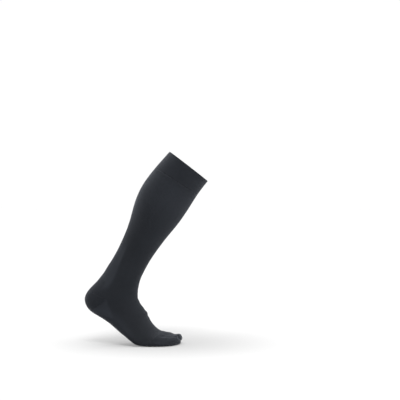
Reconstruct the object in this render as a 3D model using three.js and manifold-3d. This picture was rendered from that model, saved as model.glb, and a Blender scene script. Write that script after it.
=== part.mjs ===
// A closed-toe, knee-high compression stocking for a right leg. It is filled out as worn in a walking
// step: the heel is raised, the ball and the toe stand on the floor and the leg leans forward.
// The stocking is an empty knitted wall. The table below is measured in the plane down the middle of
// the leg: X runs forward from the back of the heel, Y to the inner side and Z up from the floor.
import * as THREE from 'three';
import { mergeVertices } from 'three/addons/utils/BufferGeometryUtils.js';
import Module from 'manifold-3d';

// Driving dimensions, in millimetres.
const KNIT = 1.4; // wall of the plain leg and foot
const REINFORCED = 1.8; // wall of the heel pocket and the toe
const WELT = 2.2; // wall of the doubled cuff
const SEAM_GAP = 0.3;
const CUFF_DEPTH = 45; // along the leg, from the folded edge to the plain knit
const TOE_START = 512; // distance down the stocking at which the toe begins
// The plain tube is one piece of knitting. It is parted at these distances down the stocking too, so
// that the collision pieces of each short length stay close to the wall.
const LEG_PARTINGS = [120, 200];
const FOOT_PARTING = 446;
const TOE_DOME = 30; // length of the rounded end
const TOE_PROFILE = 0.4; // from the side, where 1 is an elliptical end and less is squarer
const TOE_PLAN = 0.92; // the same, from above
const TOE_TIP_LEVEL = 0.3; // height of the tip, as a share of the toe's thickness
const FLOOR_SOFTNESS = 1.2; // how gently the sole curves up where it leaves the floor

// The sides of the heel pocket, as a wedge that opens backwards from a point below the ankle.
const POCKET_TIP = { x: 53.5, z: 107.6 };
const ABOVE_POCKET = { x: 8, z: 129.1 }; // where the wedge's upper side meets the back of the leg
const BELOW_POCKET = { x: 15, z: 79.6 }; // where its lower side meets the sole
const ANKLE_CREASE = { x: 122.5, z: 122.6 }; // where the leg and the foot meet in front

// Resolution of the faceted walls.
const SEGMENTS = 40; // around
const TOE_SEGMENTS = 48;
const RING_STEP = 12; // along
const HEEL_RING_STEP = 8;
const FOLD_RING_STEP = 5;
const TOE_RINGS = 7;

// Sections down the stocking. Each lies in a plane across the leg or the foot, from a front point
// (shin, instep) to a back point (calf, heel, sole).
//   width  side to side          shift  of the whole section, towards the inner side
//   egg    fuller in front (+) or behind (-), as a share       blunt  flatter behind, as a share
//   arch   lift of the sole on the inner side
//   crest  shift of the front ridge alone, towards the inner side
//   skew   forward slant of the section, per millimetre towards the inner side
const COLUMNS = [
  'frontX', 'frontZ', 'backX', 'backZ', 'width', 'shift', 'egg', 'blunt', 'arch', 'crest', 'skew',
];
const SECTIONS = {
  rim: [287, 384.3, 198.3, 452.5, 108, 0, -0.06, 0, 0, 0, 0],
  cuffEdge: [262.6, 352, 165.4, 415, 111, 0, -0.1, 0, 0, 0, 0],
  calf: [239.6, 315.6, 137.3, 377.3, 113, 0, -0.12, 0, 0, 0, 0],
  lowCalf: [214.9, 280.8, 119, 338.8, 106, 0, -0.1, 0, 0, 0, 0],
  midShank: [187.7, 247.5, 108, 299.8, 90, 0, -0.02, 0, 0, 0, 0],
  lowShank: [163.2, 214.9, 93.8, 259.8, 73, 0, 0.08, 0, 0, 0, 0],
  ankle: [143.7, 183.6, 75.5, 220.6, 63, 0, 0.16, -0.02, 0, 0, 0],
  aboveHeel: [131.3, 158.6, 50.7, 179.3, 64, 0, 0.2, -0.03, 0, 0, 0],
  heelTop: [126, 141.2, 27.2, 147.5, 68, 0, 0.16, -0.02, 0, 1, 0],
  heelUpper: [123.7, 129.5, 8.8, 128.4, 70, 0, 0.1, 0.02, 0, 2, 0],
  heelBack: [122.8, 119.7, -0.2, 108.4, 70, 0, 0.06, 0.05, 0, 3, 0],
  heelLower: [123.9, 108.9, 8.2, 85.6, 69, 0, 0.02, 0.08, 2, 4, 0],
  heelFoot: [128.5, 97.3, 28.2, 70.7, 69, -1, -0.06, 0.1, 6, 5, 0.02],
  arch: [139.1, 82.1, 55.3, 53.9, 73, -2, -0.16, 0.12, 11, 7, 0.05],
  midFoot: [148.5, 63.2, 81.5, 33.5, 82, -3, -0.24, 0.14, 10, 9, 0.1],
  ballBack: [159.4, 44.9, 106.6, 15.4, 92, -4, -0.28, 0.16, 5, 11, 0.15],
  ball: [173.4, 32.3, 130, 0.6, 98, -4, -0.28, 0.18, 1, 12, 0.2],
  toeRoot: [180.5, 30.1, 157, 0, 97, -3, -0.26, 0.18, 0, 12, 0.23],
  toeLine: [193, 25.4, 181, 0, 96, -1, -0.22, 0.18, 0, 12, 0.27],
  tip: [225, 24.3, 220.8, 0, 90, 3, -0.12, 0.15, 0, 11, 0.29],
};

// The largest folds and swells, each a soft ridge across the front of the foot.
//   place  distance down the stocking     halfWidth  along the stocking
//   reach  how far it runs to each side, in degrees round the section
const FOLD_COLUMNS = ['place', 'height', 'halfWidth', 'reach'];
const FOLDS = {
  instep: [431, 1.5, 6, 62],
  toeJoint: [536, 1.7, 11, 48],
  toeTip: [561, 1.6, 7, 48],
};

// A natural cubic spline through the values at the given places.
function naturalSpline(places, values) {
  const last = places.length - 1;
  const bend = new Array(last + 1).fill(0);
  const carried = new Array(last + 1).fill(0);
  for (let i = 1; i < last; i++) {
    const before = places[i] - places[i - 1];
    const after = places[i + 1] - places[i];
    const turn = (values[i + 1] - values[i]) / after - (values[i] - values[i - 1]) / before;
    const pivot = 2 * (before + after) - before * carried[i - 1];
    carried[i] = after / pivot;
    bend[i] = (6 * turn - before * bend[i - 1]) / pivot;
  }
  for (let i = last - 1; i > 0; i--) bend[i] -= carried[i] * bend[i + 1];
  return (place) => {
    let i = 0;
    while (i < last - 1 && place > places[i + 1]) i++;
    const span = places[i + 1] - places[i];
    const b = (place - places[i]) / span;
    const a = 1 - b;
    const curve = (a ** 3 - a) * bend[i] + (b ** 3 - b) * bend[i + 1];
    return a * values[i] + b * values[i + 1] + (curve * span ** 2) / 6;
  };
}

// The distance down the stocking of each section, as the mean of the way along front and back.
const rows = Object.values(SECTIONS);
const places = [0];
for (let i = 1; i < rows.length; i++) {
  const front = Math.hypot(rows[i][0] - rows[i - 1][0], rows[i][1] - rows[i - 1][1]);
  const back = Math.hypot(rows[i][2] - rows[i - 1][2], rows[i][3] - rows[i - 1][3]);
  places.push(places[i - 1] + (front + back) / 2);
}
const splines = COLUMNS.map((_, k) => naturalSpline(places, rows.map((row) => row[k])));
const TIP = places[places.length - 1];

// The section at a distance down the stocking. At the end it shrinks to the tip of the toe.
function sectionAt(place) {
  const inDome = Math.max(0, place - TIP + TOE_DOME) / TOE_DOME;
  const section = {};
  COLUMNS.forEach((name, k) => (section[name] = splines[k](Math.min(place, TIP))));
  const ellipse = Math.sqrt(Math.max(0, 1 - inDome ** 2));
  section.thinning = ellipse ** TOE_PROFILE;
  section.narrowing = ellipse ** TOE_PLAN;
  return section;
}

// A smooth max(z, 0), so that the sole lies flat on the floor.
function restOnFloor(z) {
  return (z + Math.sqrt(z ** 2 + FLOOR_SOFTNESS ** 2)) / 2;
}

// A point of the outer surface. The angle is 0 in front, a quarter turn on the inner side.
function outerPoint(place, angle) {
  const s = sectionAt(place);
  const cos = Math.cos(angle);
  const sin = Math.sin(angle);
  const frontness = (1 + cos) / 2;
  const girth = sin * (1 + s.egg * cos) + s.blunt * Math.sin(3 * angle) * (1 - frontness);
  const sideways = (s.width / 2) * girth + s.crest * frontness;
  const lift = s.arch * Math.max(0, sin) ** 2 * (1 - frontness);
  const depth = Math.hypot(s.frontX - s.backX, s.frontZ - s.backZ);
  const share = TOE_TIP_LEVEL + (frontness + lift / depth - TOE_TIP_LEVEL) * s.thinning;
  const x = s.backX + (s.frontX - s.backX) * share;
  const z = s.backZ + (s.frontZ - s.backZ) * share;
  const y = s.shift + sideways * s.narrowing;
  return new THREE.Vector3(x + s.skew * y, y, restOnFloor(z));
}

// The outward direction there, from the slopes along and around.
function outwardAt(place, angle) {
  const alongStep = 0.4;
  const aroundStep = 0.004;
  const along = outerPoint(place + alongStep, angle).sub(outerPoint(place - alongStep, angle));
  const around = outerPoint(place, angle + aroundStep).sub(outerPoint(place, angle - aroundStep));
  return along.cross(around).normalize();
}

// How far the folds stand out there.
function foldAt(place, angle) {
  const fromFront = (180 / Math.PI) * Math.min(angle, 2 * Math.PI - angle);
  let height = 0;
  for (const row of Object.values(FOLDS)) {
    const fold = Object.fromEntries(FOLD_COLUMNS.map((name, k) => [name, row[k]]));
    const across = Math.cos((Math.PI / 2) * Math.min(1, fromFront / fold.reach)) ** 2;
    height += fold.height * across * Math.exp(-(((place - fold.place) / fold.halfWidth) ** 2));
  }
  return height;
}

function ringOf({ place, depth }, segments) {
  const ring = [];
  for (let i = 0; i < segments; i++) {
    const angle = (2 * Math.PI * i) / segments;
    const offset = foldAt(place, angle) - depth;
    ring.push(outerPoint(place, angle).addScaledVector(outwardAt(place, angle), offset));
  }
  return ring;
}

// Faces between rings that follow one another, and between the last and the first if it closes.
function skin(rings, segments, closes, poles = []) {
  const points = rings.flat();
  const faces = [];
  const joins = closes ? rings.length : rings.length - 1;
  for (let r = 0; r < joins; r++) {
    const here = r * segments;
    const next = ((r + 1) % rings.length) * segments;
    for (let i = 0; i < segments; i++) {
      const j = (i + 1) % segments;
      faces.push(here + i, next + i, here + j, here + j, next + i, next + j);
    }
  }
  if (poles.length) {
    const [first, last] = [points.length, points.length + 1];
    const end = (rings.length - 1) * segments;
    points.push(...poles);
    for (let i = 0; i < segments; i++) {
      const j = (i + 1) % segments;
      faces.push(first, i, j, last, end + j, end + i);
    }
  }
  const geometry = new THREE.BufferGeometry().setFromPoints(points);
  geometry.setIndex(faces);
  return geometry;
}

function spread(start, end, step) {
  const count = Math.max(1, Math.round((end - start) / step));
  return Array.from({ length: count + 1 }, (_, i) => start + ((end - start) * i) / count);
}

// A wall that is open at both ends, from one place to another. A folded end is rounded over.
function tube(start, end, thickness, step, foldedStart = false) {
  const down = spread(start, end, step);
  const outer = down.map((place) => ({ place, depth: 0 }));
  const inner = down.map((place) => ({ place, depth: thickness })).reverse();
  const radius = thickness / 2;
  const fold = [-0.7, 0, 0.7].map((turn) => ({
    place: start - radius * Math.sqrt(1 - turn ** 2),
    depth: radius * (1 - turn),
  }));
  const chain = foldedStart ? [...outer, ...inner, ...fold] : [...outer, ...inner];
  return skin(chain.map((ring) => ringOf(ring, SEGMENTS)), SEGMENTS, true);
}

// The toe: an outer and an inner cup, joined at the open end.
function toeCup(start, thickness) {
  const turns = Array.from({ length: TOE_RINGS }, (_, i) => (Math.PI / 2) * (i / TOE_RINGS));
  const dome = turns.map((turn) => TIP - TOE_DOME * (1 - Math.sin(turn)));
  const down = [...spread(start, dome[0], RING_STEP / 2).slice(0, -1), ...dome];
  const inner = down.map((place) => ({ place, depth: thickness })).reverse();
  const outer = down.map((place) => ({ place, depth: 0 }));
  const outwards = new THREE.Vector3(1, -sectionAt(TIP).skew, 0).normalize();
  const tip = outerPoint(TIP, 0);
  const poles = [tip.clone().addScaledVector(outwards, -thickness), tip];
  const rings = [...inner, ...outer].map((ring) => ringOf(ring, TOE_SEGMENTS));
  return skin(rings, TOE_SEGMENTS, false, poles);
}

const wasm = await Module();
wasm.setup();

function solidOf(geometry) {
  const bare = new THREE.BufferGeometry();
  bare.setAttribute('position', geometry.getAttribute('position').clone());
  bare.setIndex(geometry.getIndex());
  const merged = mergeVertices(bare, 1e-4);
  return new wasm.Manifold(
    new wasm.Mesh({
      numProp: 3,
      vertProperties: merged.getAttribute('position').array,
      triVerts: new Uint32Array(merged.getIndex().array),
    }),
  );
}

function geometryOf(solid) {
  const { vertProperties, triVerts } = solid.getMesh();
  const geometry = new THREE.BufferGeometry();
  geometry.setAttribute('position', new THREE.BufferAttribute(vertProperties, 3));
  geometry.setIndex(new THREE.BufferAttribute(triVerts, 1));
  return geometry;
}

// The part of a wall between two rays from the pocket's tip, kept half a seam gap clear of both.
function between(wall, fromPoint, toPoint) {
  const reach = 3000;
  const halfWidth = 150;
  const tip = new THREE.Vector2(POCKET_TIP.x, POCKET_TIP.z);
  const [from, to] = [fromPoint, toPoint].map((point) =>
    new THREE.Vector2(point.x, point.z).sub(tip).normalize(),
  );
  const middle = from.clone().add(to).normalize();
  const halfAngle = Math.acos(middle.dot(from));
  const apex = tip.clone().addScaledVector(middle, SEAM_GAP / 2 / Math.sin(halfAngle));
  const outline = new THREE.Shape([
    apex,
    apex.clone().addScaledVector(from, reach),
    apex.clone().addScaledVector(to, reach),
  ]);
  const prism = new THREE.ExtrudeGeometry(outline, { depth: 2 * halfWidth, bevelEnabled: false });
  prism.translate(0, 0, -halfWidth).rotateX(Math.PI / 2);
  return geometryOf(solidOf(wall).intersect(solidOf(prism)));
}

function colour(red, green, blue) {
  return new THREE.Color().setRGB(red / 255, green / 255, blue / 255, THREE.SRGBColorSpace);
}

function piece(name, geometry, tone) {
  geometry.computeVertexNormals();
  const cloth = new THREE.MeshStandardMaterial({ color: tone, roughness: 0.9, metalness: 0 });
  const mesh = new THREE.Mesh(geometry, cloth);
  mesh.name = name;
  return mesh;
}

const halfGap = SEAM_GAP / 2;
const sectionNames = Object.keys(SECTIONS);
const POCKET_START = places[sectionNames.indexOf('aboveHeel')];
const POCKET_END = places[sectionNames.indexOf('midFoot')];
const PLAIN_TONE = colour(50, 53, 58);
const DENSE_TONE = colour(42, 45, 50);

const cuff = tube(0, CUFF_DEPTH - halfGap, WELT, RING_STEP, true);
const [upperEnd, middleEnd] = LEG_PARTINGS;
const legUpper = tube(CUFF_DEPTH + halfGap, upperEnd - halfGap, KNIT, RING_STEP);
const legMiddle = tube(upperEnd + halfGap, middleEnd - halfGap, KNIT, RING_STEP);
const ankleWall = tube(middleEnd + halfGap, POCKET_END, KNIT, RING_STEP);
const heelWall = tube(POCKET_START, POCKET_END, REINFORCED, HEEL_RING_STEP);
const instepWall = tube(POCKET_START, FOOT_PARTING - halfGap, KNIT, FOLD_RING_STEP);
const footFront = tube(FOOT_PARTING + halfGap, TOE_START - halfGap, KNIT, RING_STEP);

// The stocking is placed so that the middle of its mouth is the origin.
const rim = SECTIONS.rim;
const stocking = new THREE.Group();
stocking.name = 'stocking';
stocking.position.set(-(rim[0] + rim[2]) / 2, 0, -(rim[1] + rim[3]) / 2);
stocking.add(
  piece('cuff', cuff, DENSE_TONE),
  piece('leg_upper', legUpper, PLAIN_TONE),
  piece('leg_middle', legMiddle, PLAIN_TONE),
  piece('leg_lower', between(ankleWall, ANKLE_CREASE, ABOVE_POCKET), PLAIN_TONE),
  piece('heel', between(heelWall, ABOVE_POCKET, BELOW_POCKET), DENSE_TONE),
  piece('foot_rear', between(instepWall, BELOW_POCKET, ANKLE_CREASE), PLAIN_TONE),
  piece('foot_front', footFront, PLAIN_TONE),
  piece('toe', toeCup(TOE_START + halfGap, REINFORCED), PLAIN_TONE),
);

export default stocking;
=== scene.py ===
"""The looks of a closed-toe, knee-high compression stocking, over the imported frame.

The stocking is one knitted tube. Its surface is laid out as the solids' is, by a place down the
stocking and an angle round it, and each piece is a thin wall on that surface. Lengths are in
millimetres until a mesh is made, and in metres from there on.
"""

import math

import bmesh
import bpy
import numpy as np
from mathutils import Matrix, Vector


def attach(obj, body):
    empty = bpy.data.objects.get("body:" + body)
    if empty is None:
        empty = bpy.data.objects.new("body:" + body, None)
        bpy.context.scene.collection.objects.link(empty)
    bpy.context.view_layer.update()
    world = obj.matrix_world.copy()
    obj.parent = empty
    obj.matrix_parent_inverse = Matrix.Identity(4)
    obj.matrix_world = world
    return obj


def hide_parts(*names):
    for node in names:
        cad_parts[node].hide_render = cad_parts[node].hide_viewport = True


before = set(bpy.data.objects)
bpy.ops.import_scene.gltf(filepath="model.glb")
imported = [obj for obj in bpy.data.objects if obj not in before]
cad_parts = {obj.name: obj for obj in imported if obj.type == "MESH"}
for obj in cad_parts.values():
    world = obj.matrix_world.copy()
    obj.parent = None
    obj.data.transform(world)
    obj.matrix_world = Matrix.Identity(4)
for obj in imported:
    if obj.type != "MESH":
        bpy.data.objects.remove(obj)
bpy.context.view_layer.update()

# The form, with the same numbers as the solids.
KNIT = 1.4
REINFORCED = 1.8
WELT = 2.2
CUFF_DEPTH = 45
TOE_START = 512
TOE_DOME = 30
TOE_PROFILE = 0.4
TOE_PLAN = 0.92
TOE_TIP_LEVEL = 0.3
FLOOR_SOFTNESS = 1.2
POCKET_TIP = (53.5, 107.6)
ABOVE_POCKET = (8, 129.1)
BELOW_POCKET = (15, 79.6)
COLUMNS = [
    "front_x", "front_z", "back_x", "back_z", "width", "shift", "egg", "blunt", "arch", "crest", "skew",
]
SECTIONS = np.array([
    [287, 384.3, 198.3, 452.5, 108, 0, -0.06, 0, 0, 0, 0],
    [262.6, 352, 165.4, 415, 111, 0, -0.1, 0, 0, 0, 0],
    [239.6, 315.6, 137.3, 377.3, 113, 0, -0.12, 0, 0, 0, 0],
    [214.9, 280.8, 119, 338.8, 106, 0, -0.1, 0, 0, 0, 0],
    [187.7, 247.5, 108, 299.8, 90, 0, -0.02, 0, 0, 0, 0],
    [163.2, 214.9, 93.8, 259.8, 73, 0, 0.08, 0, 0, 0, 0],
    [143.7, 183.6, 75.5, 220.6, 63, 0, 0.16, -0.02, 0, 0, 0],
    [131.3, 158.6, 50.7, 179.3, 64, 0, 0.2, -0.03, 0, 0, 0],
    [126, 141.2, 27.2, 147.5, 68, 0, 0.16, -0.02, 0, 1, 0],
    [123.7, 129.5, 8.8, 128.4, 70, 0, 0.1, 0.02, 0, 2, 0],
    [122.8, 119.7, -0.2, 108.4, 70, 0, 0.06, 0.05, 0, 3, 0],
    [123.9, 108.9, 8.2, 85.6, 69, 0, 0.02, 0.08, 2, 4, 0],
    [128.5, 97.3, 28.2, 70.7, 69, -1, -0.06, 0.1, 6, 5, 0.02],
    [139.1, 82.1, 55.3, 53.9, 73, -2, -0.16, 0.12, 11, 7, 0.05],
    [148.5, 63.2, 81.5, 33.5, 82, -3, -0.24, 0.14, 10, 9, 0.1],
    [159.4, 44.9, 106.6, 15.4, 92, -4, -0.28, 0.16, 5, 11, 0.15],
    [173.4, 32.3, 130, 0.6, 98, -4, -0.28, 0.18, 1, 12, 0.2],
    [180.5, 30.1, 157, 0, 97, -3, -0.26, 0.18, 0, 12, 0.23],
    [193, 25.4, 181, 0, 96, -1, -0.22, 0.18, 0, 12, 0.27],
    [225, 24.3, 220.8, 0, 90, 3, -0.12, 0.15, 0, 11, 0.29],
])
ORIGIN = np.array([
    (SECTIONS[0, 0] + SECTIONS[0, 2]) / 2,
    0,
    (SECTIONS[0, 1] + SECTIONS[0, 3]) / 2,
])
FLOOR_LEVEL = -0.4184
LOWEST = 0.05  # level of the cloth over the floor where it rests on it
# The folds and swells of the solids. Columns: place, height, half width, reach to each side in degrees.
FOLDS = [
    [431, 1.5, 6, 62],
    [536, 1.7, 11, 48],
    [561, 1.6, 7, 48],
]

# Creases, each a soft ridge (+) or trough (-) between two points of the surface.
# Columns: place and angle of one end, place and angle of the other, height, half width.
# Angles are in degrees, 0 in front and 90 on the inner side.
CREASES = [
    [421, -66, 422, 70, -0.4, 5.0],
    [442, -40, 441, 48, -0.5, 3.5],
    [448, -34, 447, 40, 0.4, 3.2],
    [543.5, -25, 543.5, 65, -2.0, 7.6],
    [472, -154, 508, -154, -1.7, 9.0],
    [384, -52, 388, 30, 0.6, 4.0],
    [376, -30, 374, 58, -0.5, 4.5],
    [352, -64, 349, 20, 0.5, 4.5],
    [345, -20, 350, 66, -0.45, 5.0],
    [300, 150, 307, 214, -0.5, 5.0],
    [289, 140, 286, 196, 0.35, 5.0],
    [402, 120, 414, 168, -0.5, 5.0],
    [410, 236, 426, 196, -0.5, 5.0],
    [452, 140, 455, 215, 0.5, 4.5],
    [462, 150, 464, 205, -0.5, 4.0],
    [230, 237, 296, 248, 1.2, 6.0],
    [230, 123, 296, 112, 1.2, 6.0],
    [290, 248, 345, 255, 0.9, 5.5],
    [290, 112, 345, 105, 0.9, 5.5],
    [252, -120, 262, -60, 0.3, 7.0],
    [240, 70, 254, 130, 0.3, 7.0],
]
# Low swells on top of the toe. Columns: place across it as a share of half the width, half width,
# and height over the joint and at the tip.
TOE_SWELLS = [
    [0.46, 9.0, 1.0, 0.9],
    [0.04, 5.0, 0.8, 1.0],
    [-0.27, 4.6, 0.8, 0.9],
    [-0.55, 4.6, 0.7, 0.8],
    [-0.82, 4.6, 0.5, 0.6],
]
TOE_JOINT = 536
JOINT_SPREAD = 11
TIP_SWELL_BACK = 7  # how far behind the tip the swells stand out most there
TIP_SWELL_SPREAD = 6.5
# Lines between the toes, on the outer side. Columns: x and z of one end in the side view, x and z of the
# other, height, half width.
TOE_LINES = [
    [213.6, 25.5, 218.8, 18.6, -0.9, 1.8],
    [218.8, 18.6, 223.7, 9.2, -0.9, 1.8],
    [178.4, 20.5, 188.5, 21.9, -0.9, 2.0],
    [188.5, 21.9, 194.3, 25.6, -0.9, 2.0],
]
# Where the small toes end below the big one. Columns: level over the floor, half height, height.
TOE_ENDS = [
    [12.0, 2.5, 0.7],
    [6.3, 2.0, -1.7],
    [1.8, 2.3, 1.6],
]

TOE_ENDS_BACK = 24  # how far behind the tip they begin
CALM_BACK = 8  # how far behind the tip the relief begins to fade
CLOTH_HEIGHT = 0.7  # how far the cloth stands out from the smooth surface, without its relief
LONG_WAVE = 0.16
SHORT_WAVE = 0.1

# Painted light (+) and painted shade (-) down the stocking, lighter high on the leg and darker further
# down.
# Columns: change, the places where it starts and is full, and the places where it begins to fade and is
# gone.
PAINTED_LIGHT_AND_SHADE = [
    [0.19, 40, 60, 70, 190],
    [-0.06, 170, 220, 300, 360],
    [-0.15, 335, 400, 495, 520],
    [-0.09, 440, 475, 535, 550],
    [-0.04, 190, 230, 330, 360],
]
# Painted light on the sole, where the floor throws light back onto it.
PAINTED_SOLE_LIGHT = [0.3, 370, 390, 455, 485]
# Painted shade on the sides of the foot near the ball, low down towards the sole.
PAINTED_LOW_SIDE_SHADE = [-0.1, 480, 500, 520, 535]
# The painted highlight, a light band over the tendon at the back of the ankle, and its front edge, in
# degrees from the back.
PAINTED_BAND_HIGHLIGHT = [0.34, 222, 250, 328, 348]
BAND_PLACES = [218, 248, 274, 294, 314, 330, 345]
BAND_EDGE = [57, 58, 65, 71, 76, 79, 80]
MM_PER_DEGREE = 0.7  # round the ankle
GUSSET = [POCKET_TIP, BELOW_POCKET, (69.6, 63)]  # the light wedge in front of the heel pocket
GUSSET_LIGHTER = 0.34
FAINT = 0.7  # what is added to the toe line's distance, so that it hardly shows

WALES = 320  # stitches round the stocking
COURSE = 0.65  # height of a row of stitches
ALONG = 2.2  # length of a face down the stocking
AROUND = 160  # faces round it
LAP = 0.2  # how far the toe begins past its line, and the leg's and foot's tube ends there
TUCK = 0.1  # how far the leg's tube and the cuff's inside begin and end short of the cuff's line


def spline_bends(places, values):
    """Second derivatives of natural cubic splines through the rows of values."""
    count = len(places)
    system = np.eye(count)
    right = np.zeros_like(values, dtype=float)
    for i in range(1, count - 1):
        before = places[i] - places[i - 1]
        after = places[i + 1] - places[i]
        system[i, i - 1:i + 2] = before, 2 * (before + after), after
        right[i] = 6 * ((values[i + 1] - values[i]) / after - (values[i] - values[i - 1]) / before)
    return np.linalg.solve(system, right)


front_steps = np.hypot(np.diff(SECTIONS[:, 0]), np.diff(SECTIONS[:, 1]))
back_steps = np.hypot(np.diff(SECTIONS[:, 2]), np.diff(SECTIONS[:, 3]))
PLACES = np.concatenate([[0.0], np.cumsum((front_steps + back_steps) / 2)])
BENDS = spline_bends(PLACES, SECTIONS)
TIP = PLACES[-1]


def section_at(place):
    """The section's columns at each place down the stocking, as a dict of arrays."""
    near = np.minimum(place, TIP)
    i = np.clip(np.searchsorted(PLACES, near, side="left") - 1, 0, len(PLACES) - 2)
    span = (PLACES[i + 1] - PLACES[i])[..., None]
    b = (near - PLACES[i])[..., None] / span
    a = 1 - b
    curve = (a**3 - a) * BENDS[i] + (b**3 - b) * BENDS[i + 1]
    values = a * SECTIONS[i] + b * SECTIONS[i + 1] + curve * span**2 / 6
    section = {name: values[..., k] for k, name in enumerate(COLUMNS)}
    in_dome = np.maximum(0, place - TIP + TOE_DOME) / TOE_DOME
    ellipse = np.sqrt(np.maximum(0, 1 - in_dome**2))
    section["thinning"] = ellipse**TOE_PROFILE
    section["narrowing"] = ellipse**TOE_PLAN
    section["depth"] = np.hypot(
        section["front_x"] - section["back_x"], section["front_z"] - section["back_z"]
    )
    return section


def outer_point(place, angle):
    """A point of the smooth outer surface."""
    place, angle = np.broadcast_arrays(np.asarray(place, float), np.asarray(angle, float))
    s = section_at(place)
    cos = np.cos(angle)
    sin = np.sin(angle)
    frontness = (1 + cos) / 2
    girth = sin * (1 + s["egg"] * cos) + s["blunt"] * np.sin(3 * angle) * (1 - frontness)
    sideways = s["width"] / 2 * girth + s["crest"] * frontness
    lift = s["arch"] * np.maximum(0, sin) ** 2 * (1 - frontness)
    share = TOE_TIP_LEVEL + (frontness + lift / s["depth"] - TOE_TIP_LEVEL) * s["thinning"]
    x = s["back_x"] + (s["front_x"] - s["back_x"]) * share
    z = s["back_z"] + (s["front_z"] - s["back_z"]) * share
    y = s["shift"] + sideways * s["narrowing"]
    on_floor = (z + np.sqrt(z**2 + FLOOR_SOFTNESS**2)) / 2
    return np.stack([x + s["skew"] * y, y, on_floor], -1)


def outward_at(place, angle):
    along = outer_point(place + 0.4, angle) - outer_point(place - 0.4, angle)
    around = outer_point(place, angle + 0.004) - outer_point(place, angle - 0.004)
    outward = np.cross(along, around)
    return outward / np.linalg.norm(outward, axis=-1, keepdims=True)


def smooth_step(low, high, value):
    share = np.clip((value - low) / (high - low), 0, 1)
    return share * share * (3 - 2 * share)


def bell(away, half_width):
    return np.exp(-((away / half_width) ** 2))


def fold_at(place, angle):
    """How far the solids' folds stand out from the smooth surface."""
    from_front = np.degrees(np.abs((angle + math.pi) % (2 * math.pi) - math.pi))
    height = 0
    for fold_place, ridge, half_width, reach in FOLDS:
        across = np.cos(math.pi / 2 * np.minimum(1, from_front / reach)) ** 2
        height = height + ridge * across * bell(place - fold_place, half_width)
    return height


def relief_at(place, angle):
    """How far the cloth stands out from the smooth surface."""
    s = section_at(place)
    radius = (s["width"] + s["depth"]) / 4
    height = CLOTH_HEIGHT + LONG_WAVE * np.sin(place / 19 + 2 * angle) * np.sin(place / 43 - angle + 1)
    height = height + SHORT_WAVE * np.sin(place / 11 - 3 * angle + 2)
    for start, start_angle, end, end_angle, ridge, half_width in CREASES:
        sweep = math.radians(end_angle - start_angle)
        middle = math.radians(end_angle + start_angle) / 2
        down = place - (start + end) / 2
        turn = (angle - middle + math.pi) % (2 * math.pi) - math.pi
        length = np.hypot(end - start, sweep * radius)
        share = (down * (end - start) + turn * sweep * radius**2) / length**2
        share = np.clip(share, -0.5, 0.5)
        away = np.hypot(down - share * (end - start), (turn - share * sweep) * radius)
        height = height + ridge * np.cos(math.pi * share) * bell(away, half_width)
    across = np.sin(angle) * (1 + s["egg"] * np.cos(angle)) + s["crest"] * 2 / s["width"]
    on_top = smooth_step(0.1, 0.6, np.cos(angle))
    joint_swell = bell(place - TOE_JOINT, JOINT_SPREAD)
    tip_swell = bell(place - TIP + TIP_SWELL_BACK, TIP_SWELL_SPREAD)
    for share, half_width, at_joint, at_tip in TOE_SWELLS:
        away = (across - share) * s["width"] / 2
        swell = at_joint * joint_swell + at_tip * tip_swell
        height = height + on_top * swell * bell(away, half_width)
    calm = 1 - 0.9 * smooth_step(TIP - CALM_BACK, TIP, place)
    height = height * calm + fold_at(place, angle)
    point = outer_point(place, angle)
    outer_side = smooth_step(10, 0, point[..., 1])
    for start_x, start_z, end_x, end_z, ridge, half_width in TOE_LINES:
        away = from_segment(point[..., 0], point[..., 2], (start_x, start_z), (end_x, end_z))
        height = height + ridge * outer_side * bell(away, half_width)
    near_tip = smooth_step(TIP - TOE_ENDS_BACK, TIP - CALM_BACK, place)
    for level, half_height, ridge in TOE_ENDS:
        height = height + ridge * near_tip * bell(point[..., 2] - level, half_height)
    return height


def side_of(point_x, point_z, towards):
    """Signed distance from the line that leaves the pocket's tip towards a point."""
    run = np.array(towards, float) - POCKET_TIP
    run = run / np.hypot(*run)
    return (point_x - POCKET_TIP[0]) * run[1] - (point_z - POCKET_TIP[1]) * run[0]


def from_segment(x, z, start, end):
    """Distance from a segment of the side view."""
    start = np.array(start, float)
    run = np.array(end, float) - start
    share = np.clip(((x - start[0]) * run[0] + (z - start[1]) * run[1]) / (run @ run), 0, 1)
    return np.hypot(x - start[0] - share * run[0], z - start[1] - share * run[1])


# The change that one row of painted light and shade makes at each place.
def change_along(place, shading):
    change, starts, full, fades, gone = shading
    return change * smooth_step(starts, full, place) * (1 - smooth_step(fades, gone, place))


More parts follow.
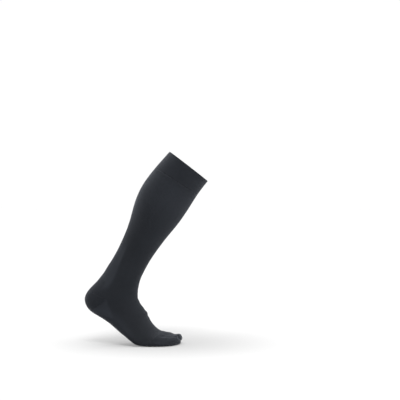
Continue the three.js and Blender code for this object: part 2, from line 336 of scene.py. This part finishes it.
def tone_at(place, angle, points):
    """How light the cloth is: painted light and shade down the stocking, painted light on the sole,
    painted shade low on the sides of the foot, a painted highlight over the tendon, and lighter on the
    gusset.
    """
    # Painted light and shade down the stocking.
    tone = 1 + sum(change_along(place, shading) for shading in PAINTED_LIGHT_AND_SHADE)
    # Painted light from the floor on the sole.
    sole = smooth_step(0.0, -0.6, np.cos(angle))
    tone = tone + sole * change_along(place, PAINTED_SOLE_LIGHT)
    # Painted shade low on the sides of the foot.
    low_side = smooth_step(0.5, 0.0, np.cos(angle)) * smooth_step(-0.8, -0.4, np.cos(angle))
    tone = tone + low_side * change_along(place, PAINTED_LOW_SIDE_SHADE)
    # Painted highlight: the light band over the tendon.
    from_back = np.degrees(np.abs((angle % (2 * math.pi)) - math.pi))
    past_edge = (from_back - np.interp(place, BAND_PLACES, BAND_EDGE)) * MM_PER_DEGREE
    band_width = np.interp(place, [300, 322], [60, 12])
    band = smooth_step(3, -5, past_edge) * smooth_step(-band_width - 6, -band_width, past_edge)
    tone = tone + band * change_along(place, PAINTED_BAND_HIGHLIGHT)
    x = points[..., 0]
    z = points[..., 2]
    inside = np.full(x.shape, 100.0)
    for i in range(3):
        start = np.array(GUSSET[i], float)
        run = np.array(GUSSET[(i + 1) % 3], float) - start
        run = run / np.hypot(*run)
        inside = np.minimum(inside, run[0] * (z - start[1]) - run[1] * (x - start[0]))
    return tone + GUSSET_LIGHTER * smooth_step(-2, 3, inside)


def seam_at(place, points):
    """Distance to the nearest seam."""
    x = points[..., 0]
    z = points[..., 2]
    upper = from_segment(x, z, POCKET_TIP, ABOVE_POCKET)
    lower = from_segment(x, z, POCKET_TIP, BELOW_POCKET)
    cuff_end = np.abs(place - CUFF_DEPTH)
    toe_line = np.abs(place - TOE_START) + FAINT
    return np.minimum(np.minimum(upper, lower), np.minimum(cuff_end, toe_line))


def wall_object(name, chain, closes=False, with_tip=False, course=COURSE):
    """A mesh object from rings that follow one another. Each ring is a (place, depth)."""
    places = np.array([ring[0] for ring in chain], float)[:, None]
    depths = np.array([ring[1] for ring in chain], float)[:, None]
    angles = 2 * math.pi * np.arange(AROUND)[None, :] / AROUND - math.pi
    base = outer_point(places, angles)
    height = relief_at(places, angles) - depths
    points = base + height[..., None] * outward_at(places, angles)
    points[..., 2] = np.maximum(points[..., 2], LOWEST)
    steps = np.linalg.norm(np.roll(base, -1, axis=1) - base, axis=2)
    shares = np.cumsum(np.pad(steps, ((0, 0), (1, 0))), axis=1)
    shares = shares / shares[:, -1:]
    # The tone carries the painted light and shade, with the lighter gusset.
    tone = tone_at(places, angles, base)
    seam = seam_at(places, base)

    rings = len(chain)
    here = np.arange(rings if closes else rings - 1)
    after = (here + 1) % rings
    i = np.arange(AROUND)
    j = (i + 1) % AROUND
    corners = [(here, i), (after, i), (after, j), (here, j)]
    faces = np.stack([r[:, None] * AROUND + c[None, :] for r, c in corners], -1).reshape(-1, 4)
    wales = [shares[r][:, c] * WALES for r, c in [(here, i), (after, i), (after, i + 1), (here, i + 1)]]
    rows = [np.repeat(places[r] / course, AROUND, 1) for r, _ in corners]
    uv = np.stack([np.stack(wales, -1), np.stack(rows, -1)], -1).reshape(-1, 2)
    vertices = points.reshape(-1, 3)
    tone = np.broadcast_to(tone, base.shape[:2]).ravel()
    seam = np.broadcast_to(seam, base.shape[:2]).ravel()
    faces = faces.tolist()
    if with_tip:
        vertices = np.vstack([vertices, outer_point(TIP, 0.0)])
        tone = np.append(tone, 1.0)
        seam = np.append(seam, 50.0)
        last = (rings - 1) * AROUND
        faces += [[last + c, rings * AROUND, last + d] for c, d in zip(i, j)]
        edge = np.stack([shares[-1, :-1], shares[-1, :-1], shares[-1, 1:]], 1) * WALES
        row = places[-1, 0] / course
        level = np.broadcast_to([row, row + 1, row], edge.shape)
        uv = np.vstack([uv, np.stack([edge, level], -1).reshape(-1, 2)])

    mesh = bpy.data.meshes.new(name)
    mesh.from_pydata(((vertices - ORIGIN) / 1000).tolist(), [], faces)
    layer = mesh.uv_layers.new(name="knit")
    layer.uv.foreach_set("vector", uv.astype(np.float32).ravel())
    for label, values in (("tone", tone), ("seam", seam)):
        attribute = mesh.attributes.new(label, "FLOAT", "POINT")
        attribute.data.foreach_set("value", values.astype(np.float32))
    piece = bpy.data.objects.new(name, mesh)
    bpy.context.scene.collection.objects.link(piece)
    return piece


def keep_faces(piece, wanted):
    """Cuts the mesh along the heel pocket's two lines and keeps the faces that are wanted."""
    cutter = bmesh.new()
    cutter.from_mesh(piece.data)
    tip = Vector((POCKET_TIP[0] - ORIGIN[0], 0, POCKET_TIP[1] - ORIGIN[2])) / 1000
    for towards in (ABOVE_POCKET, BELOW_POCKET):
        run = Vector((towards[0] - POCKET_TIP[0], 0, towards[1] - POCKET_TIP[1])).normalized()
        normal = Vector((run.z, 0, -run.x))
        near = [f for f in cutter.faces if (f.calc_center_median() - tip).dot(run) > -0.004]
        geometry = set(near)
        for face in near:
            geometry.update(face.verts)
            geometry.update(face.edges)
        bmesh.ops.bisect_plane(
            cutter, geom=list(geometry), plane_co=tip, plane_no=normal, dist=1e-6
        )
    unwanted = []
    for face in cutter.faces:
        centre = face.calc_center_median() * 1000
        x = centre.x + ORIGIN[0]
        z = centre.z + ORIGIN[2]
        in_pocket = side_of(x, z, ABOVE_POCKET) < 0 < side_of(x, z, BELOW_POCKET)
        if in_pocket != wanted:
            unwanted.append(face)
    bmesh.ops.delete(cutter, geom=unwanted, context="FACES")
    cutter.to_mesh(piece.data)
    cutter.free()


def thicken(piece, thickness):
    solidify = piece.modifiers.new("wall", "SOLIDIFY")
    solidify.thickness = thickness / 1000
    solidify.offset = -1


def finish_piece(piece, material):
    piece.data.shade_smooth()
    piece.data.set_sharp_from_angle(angle=math.radians(50))
    piece.data.materials.append(material)
    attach(piece, "root")


class Nodes:
    """Short ways to add and link shader nodes."""

    def __init__(self, material):
        material.use_nodes = True
        self.tree = material.node_tree
        self.tree.nodes.clear()

    def add(self, kind, **settings):
        node = self.tree.nodes.new(kind)
        for key, value in settings.items():
            setattr(node, key, value)
        return node

    def link(self, start, end):
        self.tree.links.new(start, end)

    def feed(self, socket, value):
        if hasattr(value, "is_output"):
            self.link(value, socket)
        else:
            socket.default_value = value

    def math(self, operation, *values):
        node = self.add("ShaderNodeMath", operation=operation)
        for socket, value in zip(node.inputs, values):
            self.feed(socket, value)
        return node.outputs[0]

    def scale(self, colour, factor):
        node = self.add("ShaderNodeVectorMath", operation="SCALE")
        self.feed(node.inputs[0], colour)
        self.feed(node.inputs["Scale"], factor)
        return node.outputs[0]

    def ramp(self, value, low, high, start, end):
        node = self.add("ShaderNodeMapRange", interpolation_type="SMOOTHSTEP")
        for label, number in zip(("From Min", "From Max", "To Min", "To Max"), (low, high, start, end)):
            node.inputs[label].default_value = number
        self.feed(node.inputs["Value"], value)
        return node.outputs["Result"]

    def oval(self, place, middle, half):
        """Distance from the middle of an oval in X and Y, 1 on its edge."""
        away = self.add("ShaderNodeVectorMath", operation="MULTIPLY_ADD")
        self.link(place, away.inputs[0])
        away.inputs[1].default_value = (1 / half[0], 1 / half[1], 0)
        away.inputs[2].default_value = (-middle[0] / half[0], -middle[1] / half[1], 0)
        length = self.add("ShaderNodeVectorMath", operation="LENGTH")
        self.link(away.outputs[0], length.inputs[0])
        return length.outputs["Value"]

    def noise(self, coordinate, scale, detail=2.0):
        node = self.add("ShaderNodeTexNoise")
        self.link(coordinate, node.inputs["Vector"])
        node.inputs["Scale"].default_value = scale
        node.inputs["Detail"].default_value = detail
        return node.outputs["Fac"]


def knit_material(name, colour, seam_tone, relief=1.0):
    """Plain knit: each stitch is a V, two slanting strands side by side."""
    material = bpy.data.materials.new(name)
    nodes = Nodes(material)
    grid = nodes.add("ShaderNodeUVMap", uv_map="knit").outputs["UV"]
    parts = nodes.add("ShaderNodeSeparateXYZ")
    nodes.link(grid, parts.inputs[0])
    place = nodes.add("ShaderNodeTexCoord").outputs["Object"]
    tone = nodes.add("ShaderNodeAttribute", attribute_name="tone").outputs["Fac"]
    seam = nodes.add("ShaderNodeAttribute", attribute_name="seam").outputs["Fac"]

    across = nodes.math("SUBTRACT", nodes.math("FRACT", parts.outputs["X"]), 0.5)
    from_middle = nodes.math("ABSOLUTE", across)
    strand = nodes.math("SINE", nodes.math("MULTIPLY", from_middle, 2 * math.pi))
    slant = nodes.math("ADD", parts.outputs["Y"], nodes.math("MULTIPLY", from_middle, 1.5))
    loop = nodes.math("COSINE", nodes.math("MULTIPLY", slant, 2 * math.pi))
    loop = nodes.math("MULTIPLY_ADD", loop, 0.3, 0.7)
    height = nodes.math("MULTIPLY", strand, loop)

    groove = nodes.ramp(seam, 0.2, 1.1, 1.0, 0.0)
    cloudy = nodes.ramp(nodes.noise(place, 16.0), 0.3, 0.7, 0.95, 1.05)
    yarn = nodes.ramp(nodes.noise(grid, 0.45, 3.0), 0.25, 0.75, 0.93, 1.07)
    # Painted shade in the hollows between the strands, lighter on their crests.
    stitch = nodes.ramp(height, 0.0, 0.9, 0.82, 1.08)
    line = nodes.math("MULTIPLY_ADD", groove, seam_tone - 1, 1.0)
    factor = tone
    for value in (cloudy, yarn, stitch, line):
        factor = nodes.math("MULTIPLY", factor, value)

    bump = nodes.add("ShaderNodeBump")
    bump.inputs["Strength"].default_value = 0.5
    bump.inputs["Distance"].default_value = 0.00022 * relief
    sunk = nodes.math("SUBTRACT", height, groove)
    nodes.link(sunk, bump.inputs["Height"])

    shader = nodes.add("ShaderNodeBsdfPrincipled")
    nodes.link(nodes.scale((*colour,), factor), shader.inputs["Base Color"])
    nodes.link(nodes.ramp(height, 0.0, 1.0, 0.92, 0.78), shader.inputs["Roughness"])
    nodes.link(bump.outputs["Normal"], shader.inputs["Normal"])
    shader.inputs["IOR"].default_value = 1.45
    shader.inputs["Specular IOR Level"].default_value = 0.25
    shader.inputs["Sheen Weight"].default_value = 0.35
    shader.inputs["Sheen Roughness"].default_value = 0.4
    shader.inputs["Sheen Tint"].default_value = (0.5, 0.53, 0.6, 1.0)
    output = nodes.add("ShaderNodeOutputMaterial")
    nodes.link(shader.outputs["BSDF"], output.inputs["Surface"])
    return material


plain_cloth = knit_material("plain_knit", (0.0256, 0.0292, 0.0366), 1.25)
cuff_cloth = knit_material("doubled_knit", (0.0254, 0.0290, 0.0364), 0.9)
heel_cloth = knit_material("reinforced_knit", (0.0250, 0.0286, 0.0362), 1.25, relief=1.3)
toe_cloth = knit_material("toe_knit", (0.0250, 0.0286, 0.0356), 0.9)


def spread(start, end, step):
    return np.linspace(start, end, max(2, int(round((end - start) / step)) + 1))


# The cuff: folded over at the top and looped to the leg inside, so it is a closed double wall.
radius = WELT / 2
fold = [
    (-radius * math.sin(turn), radius * (1 - math.cos(turn)))
    for turn in np.linspace(0, math.pi, 9)[1:-1]
]
cuff_outside = [(place, 0.0) for place in spread(0, CUFF_DEPTH - 1.2, ALONG)]
cuff_hem = [(CUFF_DEPTH - 0.4, 0.15), (CUFF_DEPTH - TUCK, 0.5)]
cuff_inside = [(place, WELT) for place in spread(0, CUFF_DEPTH - TUCK, ALONG)]
cuff_chain = fold[::-1] + cuff_outside + cuff_hem + cuff_inside[::-1]
cuff = wall_object("cuff_knit", cuff_chain, closes=True)
finish_piece(cuff, cuff_cloth)
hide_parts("cuff")

# The leg and the foot are one tube of plain knit, with the heel pocket left out of it.
tube_chain = [(place, 0.0) for place in spread(CUFF_DEPTH - TUCK, TOE_START + LAP, ALONG)]
plain = wall_object("plain_knit", tube_chain)
keep_faces(plain, False)
thicken(plain, KNIT)
finish_piece(plain, plain_cloth)
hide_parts("leg_upper", "leg_middle", "leg_lower", "foot_rear", "foot_front")

heel_chain = [(place, 0.0) for place in spread(PLACES[7], PLACES[14], ALONG)]
heel = wall_object("heel_knit", heel_chain, course=COURSE * 0.8)
keep_faces(heel, True)
thicken(heel, REINFORCED)
finish_piece(heel, heel_cloth)
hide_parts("heel")

dome = [TIP - TOE_DOME * (1 - math.sin(turn)) for turn in np.linspace(0, math.pi / 2, 25)[:-1]]
toe_places = np.concatenate([spread(TOE_START + LAP, dome[0], ALONG)[:-1], dome])
toe = wall_object("toe_knit", [(place, 0.0) for place in toe_places], with_tip=True)
thicken(toe, REINFORCED)
finish_piece(toe, toe_cloth)
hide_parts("toe")


# How the floor looks near the stocking and far from it, as its own glow and as the share of the light
# that it shows, and how much light it gives back. Both are lower near the stocking, a painted soft
# shadow round it.
GLOW_NEAR = 0.25
GLOW_FAR = 0.5
FLOOR_NEAR = 0.3
FLOOR_FAR = 0.32
FLOOR_BOUNCE = 0.37
NEAR_MIDDLE = (-0.05, 0.06)
NEAR_HALF = (0.38, 0.44)  # where the far look is reached, along X and Y
# An oval of the floor under the ball doesn't glow, a painted shadow where the foot meets the floor. Its
# middle, half length and half width, in metres.
CONTACT_X = -0.07
CONTACT_LENGTH = 0.046
CONTACT_WIDTH = 0.053


def pale_floor():
    size = 40
    mesh = bpy.data.meshes.new("floor")
    corners = [(-size, -size), (size, -size), (size, size), (-size, size)]
    mesh.from_pydata([(x, y, FLOOR_LEVEL) for x, y in corners], [], [(0, 1, 2, 3)])
    floor = bpy.data.objects.new("floor", mesh)
    bpy.context.scene.collection.objects.link(floor)
    material = bpy.data.materials.new("pale_floor")
    nodes = Nodes(material)
    place = nodes.add("ShaderNodeTexCoord").outputs["Object"]
    # Painted soft shadow: a darker look and a weaker glow near the stocking.
    distance = nodes.oval(place, NEAR_MIDDLE, NEAR_HALF)
    looks = nodes.ramp(distance, 0.0, 1.0, FLOOR_NEAR, FLOOR_FAR)
    glow = nodes.ramp(distance, 0.0, 1.0, GLOW_NEAR, GLOW_FAR)
    # Painted shadow where the foot meets the floor: no glow under the ball.
    contact_shadow = nodes.oval(place, (CONTACT_X, 0), (CONTACT_LENGTH, CONTACT_WIDTH))
    glow = nodes.math("MULTIPLY", glow, nodes.ramp(contact_shadow, 0.75, 1.2, 0.0, 1.0))
    seen = nodes.add("ShaderNodeLightPath").outputs["Is Camera Ray"]
    change = nodes.math("SUBTRACT", looks, FLOOR_BOUNCE)
    lit = nodes.add("ShaderNodeBsdfDiffuse")
    nodes.link(nodes.math("MULTIPLY_ADD", seen, change, FLOOR_BOUNCE), lit.inputs["Color"])
    glowing = nodes.add("ShaderNodeEmission")
    nodes.link(nodes.math("MULTIPLY", seen, glow), glowing.inputs["Strength"])
    both = nodes.add("ShaderNodeAddShader")
    nodes.link(lit.outputs["BSDF"], both.inputs[0])
    nodes.link(glowing.outputs["Emission"], both.inputs[1])
    output = nodes.add("ShaderNodeOutputMaterial")
    nodes.link(both.outputs["Shader"], output.inputs["Surface"])
    mesh.materials.append(material)
    return floor


def soft_world():
    """White to look at. As light it is bright overhead and at the left, and dim in front."""
    world = bpy.data.worlds.new("studio")
    bpy.context.scene.world = world
    nodes = Nodes(world)
    direction = nodes.add("ShaderNodeTexCoord").outputs["Generated"]
    parts = nodes.add("ShaderNodeSeparateXYZ")
    nodes.link(direction, parts.inputs[0])
    top = nodes.ramp(parts.outputs["Z"], 0.2, 0.95, 0.0, 0.55)
    left = nodes.ramp(parts.outputs["X"], -0.9, -0.35, 0.3, 0.0)
    right = nodes.ramp(parts.outputs["X"], 0.45, 0.95, 0.0, 0.3)
    behind = nodes.ramp(parts.outputs["Y"], 0.0, 0.7, 0.0, 0.5)
    level = 0.04
    for value in (top, left, right, behind):
        level = nodes.math("ADD", level, value)
    seen = nodes.add("ShaderNodeLightPath").outputs["Is Camera Ray"]
    mix = nodes.add("ShaderNodeMix", data_type="FLOAT")
    nodes.link(seen, mix.inputs["Factor"])
    nodes.link(level, mix.inputs["A"])
    mix.inputs["B"].default_value = 1.01
    background = nodes.add("ShaderNodeBackground")
    background.inputs["Color"].default_value = (1, 1, 1, 1)
    nodes.link(mix.outputs["Result"], background.inputs["Strength"])
    output = nodes.add("ShaderNodeOutputWorld")
    nodes.link(background.outputs[0], output.inputs["Surface"])


def area_light(name, place, aim, width, height, power):
    lamp = bpy.data.lights.new(name, "AREA")
    lamp.shape = "RECTANGLE"
    lamp.size = width
    lamp.size_y = height
    lamp.energy = power
    light = bpy.data.objects.new(name, lamp)
    light.location = place
    light.rotation_euler = (Vector(aim) - Vector(place)).to_track_quat("-Z", "Y").to_euler()
    bpy.context.scene.collection.objects.link(light)


def soft_sun(name, source, spread_angle, strength):
    lamp = bpy.data.lights.new(name, "SUN")
    lamp.energy = strength
    lamp.angle = math.radians(spread_angle)
    light = bpy.data.objects.new(name, lamp)
    light.rotation_euler = Vector(source).to_track_quat("Z", "Y").to_euler()
    bpy.context.scene.collection.objects.link(light)
    return light


floor = pale_floor()
soft_world()
# The light from the front that lays the soft shadow behind the stocking. It lights the floor alone.
shadow_sun = soft_sun("shadow_sun", (0.1, -1.05, 1.0), 24, 2.4)
floor_alone = bpy.data.collections.new("floor_alone")
floor_alone.objects.link(floor)
shadow_sun.light_linking.receiver_collection = floor_alone
soft_sun("overhead", (0.05, 0.1, 1.0), 80, 1.35)
soft_sun("front_top", (0.0, -0.9, 1.0), 50, 0.5)
area_light("left_strip", (-1.8, 0.55, 0.05), (-0.1, 0, -0.25), 0.7, 1.3, 6.5)
area_light("right_strip", (1.9, -0.7, 0.3), (0, 0, -0.2), 0.6, 1.4, 12)

CAMERA_DISTANCE = 2.9
VIEW_WIDTH = 0.94  # what the picture spans at the stocking
SENSOR_WIDTH = 36
lens = bpy.data.cameras.new("camera")
lens.sensor_width = SENSOR_WIDTH
lens.lens = SENSOR_WIDTH * CAMERA_DISTANCE / VIEW_WIDTH
lens.clip_end = 100
camera = bpy.data.objects.new("camera", lens)
camera.location = (0.0273, -CAMERA_DISTANCE, -0.0783)
camera.rotation_euler = (math.pi / 2, 0, 0)
bpy.context.scene.collection.objects.link(camera)
bpy.context.scene.camera = camera
bpy.context.scene.view_settings.view_transform = "Standard"
bpy.context.scene.view_settings.look = "None"
